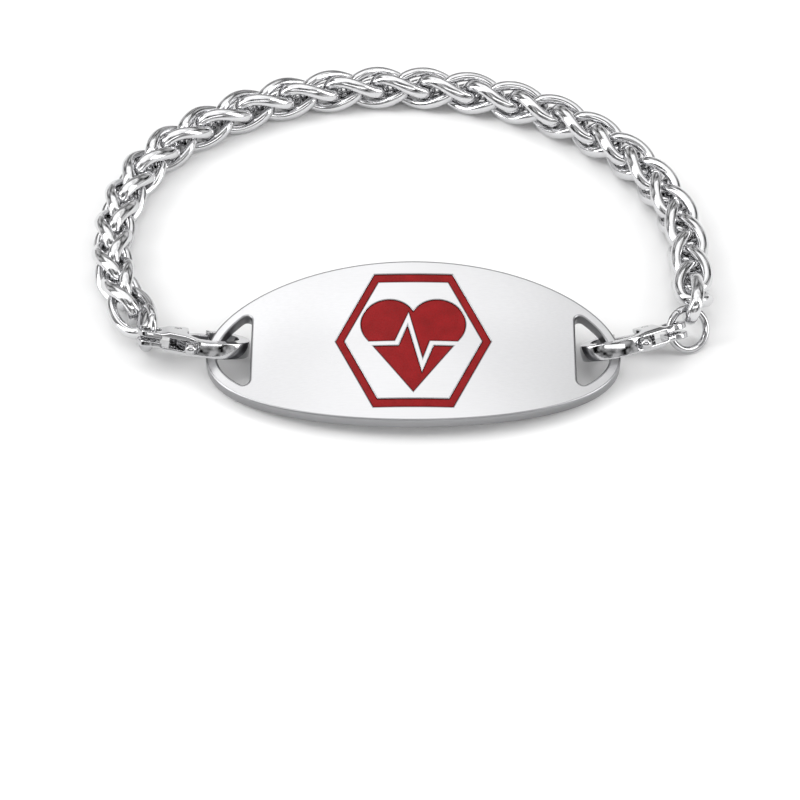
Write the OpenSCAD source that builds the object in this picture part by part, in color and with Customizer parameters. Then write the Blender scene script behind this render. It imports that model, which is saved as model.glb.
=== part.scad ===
// Medical alert bracelet lying on a table: a curved oval plate with two slots,
// a lobster clasp and a jump ring at each end of it, and a woven wheat chain that closes the loop.
// Millimetres. +X runs along the plate, +Y from the plate to the back of the chain, +Z up from the table.

/* [Plate] */
// Length of the oval plate, straight across
plate_length = 50.5; // [46:0.5:56]
// Height of the oval plate
plate_height = 22.6; // [20:0.2:25]
// Thickness of the plate
plate_thickness = 1.8; // [1.2:0.1:2]
// Radius that the plate's face is curved to, along its length
plate_bend_radius = 83; // [70:1:110]
// Lean of the plate back from lying flat, in degrees
plate_lean = 17.5; // [14:0.5:20]
// Height of the middle of the plate's face above the table
plate_rise = 6.6; // [6.5:0.1:7.2]

/* [Slots] */
// Width of metal left between a slot and the tip of the plate
slot_rim_tip = 1.35; // [1:0.05:1.6]
// Width of metal left above and below a slot
slot_rim_side = 1.7; // [1.4:0.1:2.4]
// Depth of a slot, from its straight side to its far end
slot_depth = 4.2; // [3.5:0.1:5.9]

/* [Emblem] */
// Half width of the enamel border, between its side points
border_half_width = 9.35; // [8:0.05:9.8]
// Half height of the enamel border
border_half_height = 9.3; // [8:0.05:9.6]
// Half length of the border's top and bottom edges
border_half_edge = 4.75; // [4:0.05:5.5]
// Width of the border's band
border_band = 0.86; // [0.6:0.02:1.2]
// Radius of the heart's two lobes
heart_lobe_radius = 3.35; // [2.8:0.05:3.5]
// Distance of each lobe's centre from the middle line
heart_lobe_offset = 2.95; // [2.5:0.05:3.1]
// Height of the lobes' centres above the plate's middle
heart_lobe_height = 2.3; // [1.8:0.1:2.6]
// Depth of the heart's point below the plate's middle
heart_point_depth = 7.2; // [6.4:0.1:7.4]
// Width of the bare pulse line that crosses the heart
pulse_width = 0.8; // [0.5:0.05:1.1]
// Depth of the recess that holds the enamel
recess_depth = 0.35; // [0.25:0.05:0.5]
// How far the enamel's surface lies below the plate's face
enamel_drop = 0.08; // [0.04:0.01:0.12]

/* [Clasp] */
// Length of the clasp from the eye's centre to the end of the claw
clasp_length = 12; // [11.6:0.1:12.4]
// Thickness of the clasp's body across its cheeks
clasp_thickness = 2.6; // [2.4:0.1:2.8]
// Thickness of the clasp's body at the eye
eye_thickness = 2.0; // [1.8:0.05:2.2]
// Thickness of the claw
claw_thickness = 2.1; // [1.7:0.05:2.3]
// Half width of the claw
claw_half_width = 3.75; // [3.6:0.05:4]
// How far the claw's middle lies beside the eye's, towards the spine
claw_offset = 1.2; // [0.9:0.05:1.4]
// Wall of the claw at its end
claw_end_wall = 1.45; // [1.2:0.05:1.6]
// Wall of the claw along its sides
claw_side_wall = 1.3; // [1.2:0.05:1.4]
// Radius of the eye
eye_radius = 1.8; // [1.6:0.05:2]
// Radius of the hole in the eye
eye_hole_radius = 1.1; // [1:0.02:1.15]
// Width of the split in the eye
eye_split = 0.5; // [0.3:0.05:0.6]
// Width of the gap between the two cheeks
cheek_gap = 1.3; // [1.1:0.05:1.4]
// Play on each side of the lever between the cheeks
lever_play = 0.05; // [0.03:0.01:0.1]
// Radius of the pivot pin
pin_radius = 0.4; // [0.3:0.02:0.45]
// Length of the lever from its pivot to the end of its gate
gate_reach = 3.9; // [3.7:0.05:4]
// Radius of the lever's thumb knob
knob_radius = 0.6; // [0.5:0.05:0.6]

/* [Jump rings] */
// Radius of a jump ring to the middle of its wire
ring_radius = 2.55; // [2.5:0.05:2.7]
// Diameter of a jump ring's wire
ring_wire = 0.9; // [0.7:0.05:0.95]
// Width of the seam where a ring was closed
ring_seam = 0.08; // [0.04:0.01:0.12]

/* [Chain] */
// Number of links
link_count = 44; // [40:1:45]
// Half length of a link to the middle of its wire, as a share of the pitch
link_stretch = 0.625; // [0.615:0.005:0.635]
// Half width of a link to the middle of its wire
link_half_width = 2.25; // [2.2:0.02:2.3]
// Half thickness of the link's flattened wire
link_wire_half_thick = 0.70; // [0.55:0.01:0.72]
// Half width of the link's flattened wire
link_wire_half_wide = 0.82; // [0.6:0.01:0.84]

/* [Hidden] */
steel = [0.78, 0.78, 0.80];
satin = [0.72, 0.73, 0.75];
enamel_red = [0.62, 0.12, 0.14];

clearance = 0.04;
pin_fit = 0.03;
gate_gap = 0.1;
knob_room = 0.12;
far = 40;
$fn = 64;
lobe_steps = 18;

// The chain's route: points along its middle from the left clasp round the back to the right clasp, placed by
// eye on the photo. Its two ends, in hook_left and hook_right and measured from each clasp's eye, and the points
// next to them come from trying many places for the one with clear gaps nearest the photo's.
hook_left = [-1.35, 2.31, -1.11];
hook_right = [2.58, 1.04, 2.27];
route_between = [
    [-36.28, 13.32, 2.65],
    [-38.3, 20.5, 2.6],
    [-38.0, 31.0, 2.6],
    [-34.4, 41.4, 2.6],
    [-26.8, 49.6, 2.6],
    [-16.0, 55.5, 2.6],
    [-3.0, 57.6, 2.6],
    [9.6, 55.7, 2.6],
    [21.0, 49.6, 2.6],
    [30.0, 39.5, 2.6],
    [34.4, 27.8, 2.65],
    [35.01, 15.9, 2.96],
];
route_steps = 14;
link_rings = 28;
// How far the first and last link turn along half their length, in degrees
end_link_turn = 8;
// The middle of the bracelet's footprint, which becomes the origin
footprint_middle = [-1.725, 24.7, 0];

// How each clasp is turned: rolled about its length, claw down, and swung round. The right one is mirrored.
left_turn = [-29, 9, 2];
right_turn = [-35.7, 4, -14.9];
// How far inside the plate's tip, above its middle line and above the rim's middle each claw holds the rim
left_hold = [0.85, 2.66, -0.61];
right_hold = [0.84, 2.27, -0.58];
// Distance from the end of the claw back to the rim that it holds
claw_to_rim = 0.83 / 2.3 * clasp_length;
// How each jump ring hangs in its eye: swung round the eye's axis, then leant along it
left_ring_hang = [108, 16.8];
right_ring_hang = [166, -6];
// How far a ring's wire lies off the middle of its eye, towards the claw
ring_seat = 0.3;

function unit(v) = v / norm(v);
function unit_at(angle) = [cos(angle), sin(angle)];
function two_digits(i) = i < 10 ? str("0", i) : str(i);
function link_name(i) = str("link_", two_digits(i));

// Points of an ellipse round a centre
function ellipse(centre, half_x, half_y, points = 90) =
    [for (i = [0 : points - 1]) centre + [half_x * cos(i * 360 / points), half_y * sin(i * 360 / points)]];

// Plate

// A sheet that follows the plate's curve, between two depths below its face
module curved_sheet(top_depth, bottom_depth) {
    translate([0, 0, -plate_bend_radius]) rotate([90, 0, 0]) difference() {
        cylinder(r = plate_bend_radius - top_depth, h = 2 * plate_height, center = true, $fn = 180);
        cylinder(r = plate_bend_radius - bottom_depth, h = 3 * plate_height, center = true, $fn = 180);
    }
}

module follow_face(top_depth, bottom_depth) {
    intersection() {
        translate([0, 0, -far / 2]) linear_extrude(far) children();
        curved_sheet(top_depth, bottom_depth);
    }
}

// Distance from the plate's middle to a slot's straight side
slot_start = plate_length / 2 - slot_rim_tip - slot_depth;

module slots_flat() {
    difference() {
        polygon(ellipse([0, 0], plate_length / 2 - slot_rim_tip, plate_height / 2 - slot_rim_side));
        square([2 * slot_start, 2 * plate_height], center = true);
    }
}

// The border's corner points, set in from the outline by an amount; the slanted sides stay parallel
function border_points(inset) = let(
    slant = [border_half_height, border_half_width - border_half_edge],
    lean = slant[0] / norm(slant),
    tip = border_half_width - inset / lean,
    top = border_half_height - inset * 7 / 6,
    edge = tip - top * slant[1] / slant[0]
) [[tip, 0], [edge, top], [-edge, top], [-tip, 0], [-edge, -top], [edge, -top]];

// The border's band, grown by a clearance on both of its edges
module border_flat(grow = 0) {
    difference() {
        polygon(border_points(-grow));
        polygon(border_points(border_band + grow));
    }
}

// A heart of two round lobes and the two straight sides that touch them, grown by an amount all round
function heart_points(grow = 0) = let(
    r = heart_lobe_radius + grow,
    lobe = [heart_lobe_offset, heart_lobe_height],
    to_lobe = lobe + [0, heart_point_depth],
    half_point = atan2(to_lobe[0], to_lobe[1]) + asin(heart_lobe_radius / norm(to_lobe)),
    touch = -half_point,
    cleft = 180 - acos(heart_lobe_offset / r),
    right = [for (i = [0 : lobe_steps]) lobe + r * unit_at(touch + i * (cleft - touch) / lobe_steps)]
) concat(
    [[0, -heart_point_depth - grow / sin(half_point)]],
    right,
    [for (i = [lobe_steps - 1 : -1 : 0]) [-right[i][0], right[i][1]]]
);

// The corners of the pulse line's middle, in lobe radii of the heart
pulse = heart_lobe_radius
    * [[-2.6, -0.15], [-0.60, -0.15], [-0.18, 0.95], [0.32, -1.15], [0.66, -0.15], [2.6, -0.15]];

// One edge of the pulse line: its corners moved sideways, with the outer side of a sharp corner kept short
function pulse_corner(i, side, off) = let(
    before = unit(pulse[i] - pulse[i - 1]),
    after = unit(pulse[i + 1] - pulse[i]),
    sideways = unit([-before[1] - after[1], before[0] + after[0]]),
    outer = side * (before[0] * after[1] - before[1] * after[0]) < 0,
    mitre = off / (sideways * [-before[1], before[0]])
) pulse[i] + side * sideways * (outer ? min(mitre, 2.2 * off) : mitre);

// Everything beyond the pulse line's upper edge, or beyond its lower one
module beyond_pulse(side, off) {
    last = len(pulse) - 1;
    reach = side * 3 * heart_lobe_radius;
    polygon(concat(
        [pulse[0] + [0, side * off]],
        [for (i = [1 : last - 1]) pulse_corner(i, side, off)],
        [pulse[last] + [0, side * off], [pulse[last][0], reach], [pulse[0][0], reach]]
    ));
}

module half_heart_flat(side, grow = 0) {
    intersection() {
        polygon(heart_points(grow));
        beyond_pulse(side, pulse_width / 2 - grow);
    }
}

module on_plate() {
    translate([0, 0, plate_rise]) rotate([plate_lean, 0, 0]) children();
}

module plate() {
    color(satin) on_plate() difference() {
        follow_face(0, plate_thickness) difference() {
            polygon(ellipse([0, 0], plate_length / 2, plate_height / 2));
            slots_flat();
        }
        follow_face(-1, recess_depth) {
            border_flat(clearance);
            half_heart_flat(1, clearance);
            half_heart_flat(-1, clearance);
        }
    }
}

module enamel() {
    color(enamel_red) on_plate() follow_face(enamel_drop, recess_depth - clearance / 2) children();
}

module enamel_border() {
    enamel() border_flat();
}

module enamel_heart(up) {
    enamel() half_heart_flat(up);
}

// Clasps. A clasp lies in its own frame: X from the eye to the claw, +Y towards the gate, Z through its thickness.

// Where its main points lie, as shares of its length and of the claw's half width
claw_half_length = 0.86 / 2.3 * clasp_length;
pivot = [0.6 / 2.3 * clasp_length, 0.14 * claw_half_width];
knob_at = [0.9 / 2.3 * clasp_length, -claw_offset - 0.92 * claw_half_width];
claw_middle = clasp_length - claw_half_length;
cheek_end = claw_middle - 0.52 / 0.86 * claw_half_length;
opening_middle = [claw_middle - 0.15, 0.05 - claw_offset];
opening_half_length = clasp_length - claw_end_wall - opening_middle[0];
opening_half_width = claw_half_width - claw_side_wall;
shoulder = opening_middle[0] - opening_half_length + 0.3;
lever_thickness = cheek_gap - 2 * lever_play;
lever_room = eye_hole_radius + 0.1;
cheek_overrun = 0.25;
// The body's thickness at places along it, seen from its side
side_steps = [
    [-far, eye_thickness], [lever_room, eye_thickness], [lever_room + 0.8, clasp_thickness],
    [shoulder - 0.4, clasp_thickness], [shoulder + 1.2, claw_thickness], [far, claw_thickness],
];

module clasp_outline() {
    polygon(ellipse([claw_middle, -claw_offset], claw_half_length, claw_half_width));
    circle(eye_radius);
    polygon([
        [0.1, -eye_radius], [cheek_end, -claw_offset - 0.79 * claw_half_width],
        [cheek_end, 0.79 * claw_half_width - claw_offset], [0.1, eye_radius],
    ]);
}

module opening_flat() {
    polygon(ellipse(opening_middle, opening_half_length, opening_half_width));
}

// The mouth that the gate closes: an arc round the pivot, so that the gate swings clear of the claw's tip
module mouth_flat() {
    intersection() {
        translate(pivot) circle(gate_reach + gate_gap);
        translate([shoulder, pivot[1] - 0.7]) square(far);
    }
}

module clasp_body() {
    color(steel) difference() {
        intersection() {
            translate([0, 0, -clasp_thickness / 2]) linear_extrude(clasp_thickness) difference() {
                clasp_outline();
                opening_flat();
                mouth_flat();
            }
            // The cheeks taper down to the eye and to the claw
            rotate([90, 0, 0]) translate([0, 0, -far / 2]) linear_extrude(far) polygon(concat(
                [for (step = side_steps) [step[0], -step[1] / 2]],
                [for (i = [len(side_steps) - 1 : -1 : 0]) [side_steps[i][0], side_steps[i][1] / 2]]
            ));
        }
        translate([shoulder + cheek_overrun - far, -far / 2, -eye_split / 2]) cube([far, far, eye_split]);
        translate([lever_room, -far / 2, -cheek_gap / 2]) cube([shoulder + cheek_overrun - lever_room, far, cheek_gap]);
        // The thumb knob's seat at the spine
        translate([pivot[0], knob_at[1] + 3 * knob_radius - far, -cheek_gap / 2])
            cube([knob_at[0] + knob_radius + knob_room - pivot[0], far, cheek_gap]);
        cylinder(r = eye_hole_radius, h = far, center = true);
        translate(pivot) cylinder(r = pin_radius + pin_fit, h = far, center = true);
    }
}

module clasp_lever() {
    tail = knob_at - pivot;
    color(steel) {
        difference() {
            translate([0, 0, -lever_thickness / 2]) linear_extrude(lever_thickness) {
                intersection() {
                    difference() {
                        clasp_outline();
                        opening_flat();
                    }
                    translate(pivot) circle(gate_reach);
                    translate([pivot[0] - 0.6, pivot[1] - 0.6]) square(far);
                }
                translate(pivot) circle(0.95);
                translate(pivot) rotate(atan2(tail[1], tail[0])) translate([0, -0.5]) square([norm(tail), 1.0]);
            }
            translate(pivot) cylinder(r = pin_radius + 2 * pin_fit, h = far, center = true);
        }
        translate(knob_at) sphere(knob_radius);
    }
}

module pivot_pin() {
    color(steel) translate(pivot) cylinder(r = pin_radius, h = clasp_thickness, center = true);
}

// A jump ring threaded through the eye, which is at the origin
module jump_ring(hang) {
    color(steel) rotate([0, 0, hang[0]]) rotate([0, -hang[1], 0]) translate([ring_radius - ring_seat, 0, 0])
        rotate([90, 0, 0]) difference() {
            rotate_extrude() translate([ring_radius, 0]) circle(d = ring_wire, $fn = 32);
            rotate([0, 0, 118]) translate([0, -ring_seam / 2, -far / 2]) cube([far, ring_seam, far]);
        }
}

// The place on the plate's rim that a claw holds, on the left side
function rim_place(hold) = let(
    x = plate_length / 2 - hold[0],
    y = hold[1],
    z = sqrt(pow(plate_bend_radius, 2) - x * x) - plate_bend_radius - plate_thickness / 2 + hold[2]
) [-x, y * cos(plate_lean) - z * sin(plate_lean), plate_rise + y * sin(plate_lean) + z * cos(plate_lean)];

function clasp_heading(turn) = [cos(turn[2]) * cos(turn[1]), sin(turn[2]) * cos(turn[1]), -sin(turn[1])];
function eye_place(hold, turn) = rim_place(hold) - (clasp_length - claw_to_rim) * clasp_heading(turn);
function mirrored(v) = [-v[0], v[1], v[2]];
left_eye = eye_place(left_hold, left_turn);
right_eye = mirrored(eye_place(right_hold, right_turn));

module at_left() {
    translate(left_eye) rotate(left_turn) children();
}

module at_right() {
    mirror([1, 0, 0]) translate(mirrored(right_eye)) rotate(right_turn) children();
}

// Chain. The route is a smooth curve through its points, and is read by the distance along it.

function curve_point(a, b, c, d, t) =
    0.5 * (2 * b + (c - a) * t + (2 * a - 5 * b + 4 * c - d) * t * t + (3 * b - a - 3 * c + d) * t * t * t);
route = concat([left_eye + hook_left], route_between, [right_eye + hook_right]);
route_ends = concat([2 * route[0] - route[1]], route, [2 * route[len(route) - 1] - route[len(route) - 2]]);
curve = concat(
    [for (i = [0 : len(route) - 2]) for (k = [0 : route_steps - 1])
        curve_point(route_ends[i], route_ends[i + 1], route_ends[i + 2], route_ends[i + 3], k / route_steps)],
    [route[len(route) - 1]]
);
distances = [for (i = 0, s = 0; i < len(curve);
    i = i + 1, s = s + (i < len(curve) ? norm(curve[i] - curve[i - 1]) : 0)) s];
route_length = distances[len(curve) - 1];
curve_by_axis = [for (axis = [0 : 2]) [for (i = [0 : len(curve) - 1]) [distances[i], curve[i][axis]]]];

function on_curve(s) = [for (axis = [0 : 2]) lookup(s, curve_by_axis[axis])];
function heading(s) = let(c = min(max(s, 0.8), route_length - 0.8)) unit(on_curve(c + 0.8) - on_curve(c - 0.8));

// A point of the straight chain carried to the bent one: x along the route, y to its inner side, z up
function on_route(p) = let(
    ahead = heading(p[0]),
    inward = unit(cross(ahead, [0, 0, 1])),
    beyond = p[0] - min(max(p[0], 0), route_length)
) on_curve(p[0]) + ahead * beyond + inward * p[1] + cross(inward, ahead) * p[2];

// The links share the route's length, so that the chain always reaches from ring to ring
link_pitch = route_length / ((link_count - 1) / 2 + 2 * link_stretch);
link_half_length = link_stretch * link_pitch;

// The middle of a link's wire: an oval whose plane turns steadily along its length
function link_middle(t, mid_angle, turn) = let(
    x = link_half_length * cos(t),
    r = link_half_width * sign(sin(t)) * pow(abs(sin(t)), 0.9),
    angle = mid_angle + turn * cos(t)
) [x, r * cos(angle), r * sin(angle)];

// The wire's flattened six-sided section at one place round the link
function link_section(t, mid_angle, turn, shift) = let(
    along = unit(link_middle(t + 0.5, mid_angle, turn) - link_middle(t - 0.5, mid_angle, turn)),
    angle = mid_angle + turn * cos(t),
    side = [0, -sin(angle), cos(angle)],
    wide = unit(side - (side * along) * along),
    thick = cross(along, wide),
    middle = link_middle(t, mid_angle, turn) + [shift, 0, 0]
) [for (k = [0 : 5]) on_route(middle
    + thick * link_wire_half_thick * cos(60 * k + 30) + wide * link_wire_half_wide * sin(60 * k + 30))];

// Links of two hands alternate, half a pitch apart. The first lies nearly flat and the last stands nearly upright.
module link(i) {
    left_hand = i % 2 == 1;
    end_link = i == 1 || i == link_count;
    turn = (end_link ? end_link_turn : 45) * (left_hand ? -1 : 1);
    mid_angle = i == 1 ? end_link_turn : i == link_count ? 90 + turn : left_hand ? 45 : 135;
    shift = link_half_length + (i - 1) * link_pitch / 2;
    rings = [for (r = [0 : link_rings - 1]) link_section((r + 0.5) * 360 / link_rings, mid_angle, turn, shift)];
    points = [for (ring = rings) each ring];
    faces = [for (r = [0 : link_rings - 1]) for (k = [0 : 5]) let(
        a = r * 6 + k,
        b = r * 6 + (k + 1) % 6,
        c = ((r + 1) % link_rings) * 6 + (k + 1) % 6,
        d = ((r + 1) % link_rings) * 6 + k
    ) each [[a, c, b], [a, d, c]]];
    color(steel) polyhedron(points, faces, convexity = 4);
}

module placed() {
    translate(-footprint_middle) children();
}

placed() plate();
placed() enamel_border();
placed() enamel_heart(1);  // enamel_heart_upper
placed() enamel_heart(-1);  // enamel_heart_lower
placed() at_left() clasp_body();  // clasp_body_left
placed() at_left() clasp_lever();  // clasp_lever_left
placed() at_left() pivot_pin();  // pivot_pin_left
placed() at_left() jump_ring(left_ring_hang);  // jump_ring_left
placed() at_right() clasp_body();  // clasp_body_right
placed() at_right() clasp_lever();  // clasp_lever_right
placed() at_right() pivot_pin();  // pivot_pin_right
placed() at_right() jump_ring(right_ring_hang);  // jump_ring_right
for (i = [1 : link_count]) placed() link(i);
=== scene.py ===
"""The looks of a steel medical alert bracelet that lies on a pale table.

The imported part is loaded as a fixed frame. The plate, its enamel, the links, the jump rings and the pins
are made again as smooth surfaces in the same places, and the clasps' bodies and levers are rounded copies
of the solids. Every surface gets its finish: mirror steel, satin steel or red enamel. The pieces are given
in millimetres of the plate's own frame, whose origin is under the plate's middle. The finishes and the
studio are given in metres.
"""

import logging
import math
from dataclasses import dataclass, field
from enum import Enum
from typing import Callable

import bmesh
import bpy
import numpy as np
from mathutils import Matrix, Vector


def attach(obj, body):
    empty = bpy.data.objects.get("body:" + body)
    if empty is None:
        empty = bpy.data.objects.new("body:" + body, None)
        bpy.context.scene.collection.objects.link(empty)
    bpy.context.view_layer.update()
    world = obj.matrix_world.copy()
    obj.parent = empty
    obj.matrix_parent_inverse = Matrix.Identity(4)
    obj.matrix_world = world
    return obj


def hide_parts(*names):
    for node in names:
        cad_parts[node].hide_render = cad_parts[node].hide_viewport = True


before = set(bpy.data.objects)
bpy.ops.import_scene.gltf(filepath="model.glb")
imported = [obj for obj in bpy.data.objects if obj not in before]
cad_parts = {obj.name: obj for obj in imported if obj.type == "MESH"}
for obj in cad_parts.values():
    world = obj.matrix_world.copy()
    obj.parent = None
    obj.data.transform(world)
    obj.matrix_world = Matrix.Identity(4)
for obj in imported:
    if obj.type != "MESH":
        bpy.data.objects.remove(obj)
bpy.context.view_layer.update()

log = logging.getLogger("bracelet")
Array = np.ndarray
Finish = bpy.types.Material
Socket = bpy.types.NodeSocket
Pair = tuple[float, float]
Triple = tuple[float, float, float]

# A millimetre in metres, and in millimetres how near points are merged and how short an edge is dissolved
MM = 0.001
SEAM_DISTANCE = 0.0002
FLAT_DISTANCE = 0.00001
# The middle of the bracelet's footprint, which the frame has as its origin
FOOTPRINT_MIDDLE = np.array([-1.725, 24.7, 0.0])
ROOT_BODY = "bracelet"
# Added to a direction so that its length is never nought
TINY = 1e-9
# The range that a noise texture mostly stays in
USUAL_NOISE = (0.3, 0.7)


class Side(Enum):
    """The two ends of the plate."""

    LEFT = "left"
    RIGHT = "right"


def unit(v: Array) -> Array:
    """Scales each vector of an array to length one."""
    return v / np.linalg.norm(v, axis=-1, keepdims=True)


def rotation(axis: str, degrees: float) -> Array:
    """The matrix of a turn, with cosines on the diagonal and sines across it, outside the axis's own row.

    Args:
        axis: "x", "y" or "z".
        degrees: The turn about it, right-handed.

    Returns:
        The matrix, 3 by 3.
    """
    c, s = math.cos(math.radians(degrees)), math.sin(math.radians(degrees))
    first, second = {"x": (1, 2), "y": (2, 0), "z": (0, 1)}[axis]
    matrix = np.eye(3)
    matrix[first, first] = matrix[second, second] = c
    matrix[first, second], matrix[second, first] = -s, s
    return matrix


def superellipse(half_a: Array, half_b: Array, count: int, power: float) -> Array:
    """Points round a rounded rectangle: each is (a cos^(2/power), b sin^(2/power)) of an even angle.

    Args:
        half_a: Half sizes along the first axis, one for each section.
        half_b: Half sizes along the second axis, one for each section.
        count: Points round a section.
        power: 2 gives an ellipse, more gives squarer corners.

    Returns:
        An array of sections by count by 2.
    """
    angle = np.arange(count) * 2 * np.pi / count
    c, s = np.cos(angle), np.sin(angle)
    a = np.sign(c) * np.abs(c) ** (2 / power)
    b = np.sign(s) * np.abs(s) ** (2 / power)
    return np.stack([np.outer(half_a, a), np.outer(half_b, b)], -1)


@dataclass
class Patch:
    """A grid of points with the quads between them.

    Attributes:
        points: Rows by columns by 3.
        close_rows: Whether the last row joins the first.
        close_columns: Whether the last column joins the first.
        caps: Rows, 0 or -1, that are each closed by one face.
        finish: Index of the material that the faces take.
    """

    points: Array
    close_rows: bool = False
    close_columns: bool = True
    caps: tuple[int, ...] = ()
    finish: int = 0

    def faces(self, start: int) -> list[list[int]]:
        """The corner numbers of every face.

        Args:
            start: The number of the grid's first point in the mesh.

        Returns:
            Four numbers for each quad, which joins two neighbouring rows and columns, and then the caps.
        """
        rows, columns = self.points.shape[:2]
        r = np.arange(rows if self.close_rows else rows - 1)[:, None]
        c = np.arange(columns if self.close_columns else columns - 1)[None, :]
        r2, c2 = (r + 1) % rows, (c + 1) % columns
        numbers = start + np.arange(rows * columns).reshape(rows, columns)
        corners = [numbers[r, c], numbers[r, c2], numbers[r2, c2], numbers[r2, c]]
        return np.stack(corners, -1).reshape(-1, 4).tolist() + [numbers[row].tolist() for row in self.caps]


def mesh_object(name: str, patches: list[Patch], finishes: list[Finish], body: str) -> bpy.types.Object:
    """Makes one smooth closed object from patches given in millimetres of the plate's frame.

    Where patches meet, their points are merged, and then all faces are turned to point outwards.

    Args:
        name: The new object's name.
        patches: The grids that it is made of.
        finishes: Its material slots.
        body: The CAD body that it rides on.

    Returns:
        The object, at the origin, with its place in its mesh.
    """
    points = np.concatenate([p.points.reshape(-1, 3) for p in patches])
    starts = np.cumsum([0] + [p.points.shape[0] * p.points.shape[1] for p in patches[:-1]])
    grids = [p.faces(start) for p, start in zip(patches, starts)]
    slots = np.concatenate([np.full(len(grid), p.finish, np.int32) for grid, p in zip(grids, patches)])
    mesh = bpy.data.meshes.new(name)
    mesh.from_pydata((points - FOOTPRINT_MIDDLE).tolist(), [], [face for grid in grids for face in grid])
    mesh.polygons.foreach_set("material_index", slots)
    return finished(name, mesh, finishes, body)


def finished(name: str, mesh: bpy.types.Mesh, finishes: list[Finish], body: str) -> bpy.types.Object:
    """Closes a mesh in millimetres, turns its faces outwards, brings it to metres and puts it on its body.

    Args:
        name: The new object's name.
        mesh: The mesh, in millimetres of the scene.
        finishes: Its material slots.
        body: The CAD body that it rides on.

    Returns:
        The object, at the origin, with its place in its mesh.
    """
    cleaner = bmesh.new()
    cleaner.from_mesh(mesh)
    bmesh.ops.remove_doubles(cleaner, verts=cleaner.verts, dist=SEAM_DISTANCE)
    bmesh.ops.dissolve_degenerate(cleaner, edges=cleaner.edges, dist=FLAT_DISTANCE)
    bmesh.ops.recalc_face_normals(cleaner, faces=cleaner.faces)
    bmesh.ops.scale(cleaner, verts=cleaner.verts, vec=(MM, MM, MM))
    cleaner.to_mesh(mesh)
    cleaner.free()
    mesh.polygons.foreach_set("use_smooth", np.ones(len(mesh.polygons), bool))
    for finish in finishes:
        mesh.materials.append(finish)
    mesh.update()
    piece = bpy.data.objects.new(name, mesh)
    bpy.context.scene.collection.objects.link(piece)
    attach(piece, body)
    return piece


def round_edge(radius: float, steps: int) -> Array:
    """A quarter circle from a face to a wall: r (1 - sin t) off the wall, r (1 - cos t) below the face."""
    turn = np.linspace(0, np.pi / 2, steps + 1)
    return np.stack([radius * (1 - np.sin(turn)), radius * (1 - np.cos(turn))], -1)


@dataclass(frozen=True)
class MirrorSteel:
    """Polished stainless steel: a mirror with faint haze and hair-fine polishing lines."""

    name: str = "mirror_steel"
    tint: Triple = (0.67, 0.67, 0.68)
    roughness: Pair = (0.09, 0.18)
    haze_scale: float = 260.0
    line_scale: float = 5200.0
    line_stretch: Triple = (1.0, 0.25, 0.25)
    line_strength: float = 0.05
    line_height: float = 0.00001

    def build(self) -> Finish:
        """Makes the material.

        Returns:
            The material, ready for any mesh.
        """
        sheet = NodeSheet(bpy.data.materials.new(self.name))
        place = sheet.place("Object")
        haze = sheet.noise(place, self.haze_scale, detail=3.0)
        lines = sheet.noise(sheet.stretched(place, self.line_stretch), self.line_scale, detail=2.0)
        return sheet.finish({
            "Base Color": (*self.tint, 1),
            "Metallic": 1.0,
            "Roughness": sheet.spread(haze, *self.roughness),
            "Normal": sheet.bump(lines, self.line_strength, self.line_height),
        })


@dataclass(frozen=True)
class SatinSteel:
    """Satin steel of the plate: fine straight brushing along it, with a soft even sheen."""

    name: str = "satin_steel"
    tint: Triple = (0.64, 0.64, 0.65)
    roughness: Pair = (0.26, 0.40)
    anisotropy: float = 0.45
    dark_share: float = 0.94
    cloud_scale: float = 90.0
    brush_scale: float = 9000.0
    brush_stretch: Triple = (0.012, 1.0, 1.0)
    brush_strength: float = 0.22
    brush_height: float = 0.000012

    def build(self) -> Finish:
        """Makes the material.

        Returns:
            The material, ready for any mesh.
        """
        sheet = NodeSheet(bpy.data.materials.new(self.name))
        place = sheet.place("Object")
        brush = sheet.noise(sheet.stretched(place, self.brush_stretch), self.brush_scale, detail=4.0)
        cloud = sheet.noise(place, self.cloud_scale, detail=2.0)
        return sheet.finish({
            "Base Color": sheet.mixed(brush, tuple(self.dark_share * c for c in self.tint), self.tint),
            "Metallic": 1.0,
            "Anisotropic": self.anisotropy,
            "Roughness": sheet.spread(sheet.average(brush, cloud), *self.roughness),
            "Normal": sheet.bump(brush, self.brush_strength, self.brush_height),
        })


@dataclass(frozen=True)
class RedEnamel:
    """Deep red enamel with a low gloss: slightly uneven in colour, under a thin clear coat."""

    name: str = "red_enamel"
    dark: Triple = (0.210, 0.003, 0.004)
    light: Triple = (0.270, 0.005, 0.007)
    roughness: Pair = (0.22, 0.34)
    mottle_scale: float = 700.0
    grain_scale: float = 4500.0
    grain_strength: float = 0.12
    grain_height: float = 0.00001
    coat: float = 0.05
    coat_roughness: float = 0.08
    gloss: float = 0.12
    refraction: float = 1.5

    def build(self) -> Finish:
        """Makes the material.

        Returns:
            The material, ready for any mesh.
        """
        sheet = NodeSheet(bpy.data.materials.new(self.name))
        place = sheet.place("Object")
        mottle = sheet.noise(place, self.mottle_scale, detail=3.0)
        grain = sheet.noise(place, self.grain_scale, detail=2.0)
        return sheet.finish({
            "Base Color": sheet.mixed(mottle, self.dark, self.light),
            "Roughness": sheet.spread(grain, *self.roughness),
            "IOR": self.refraction,
            "Specular IOR Level": self.gloss,
            "Coat Weight": self.coat,
            "Coat Roughness": self.coat_roughness,
            "Normal": sheet.bump(grain, self.grain_strength, self.grain_height),
        })


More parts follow.
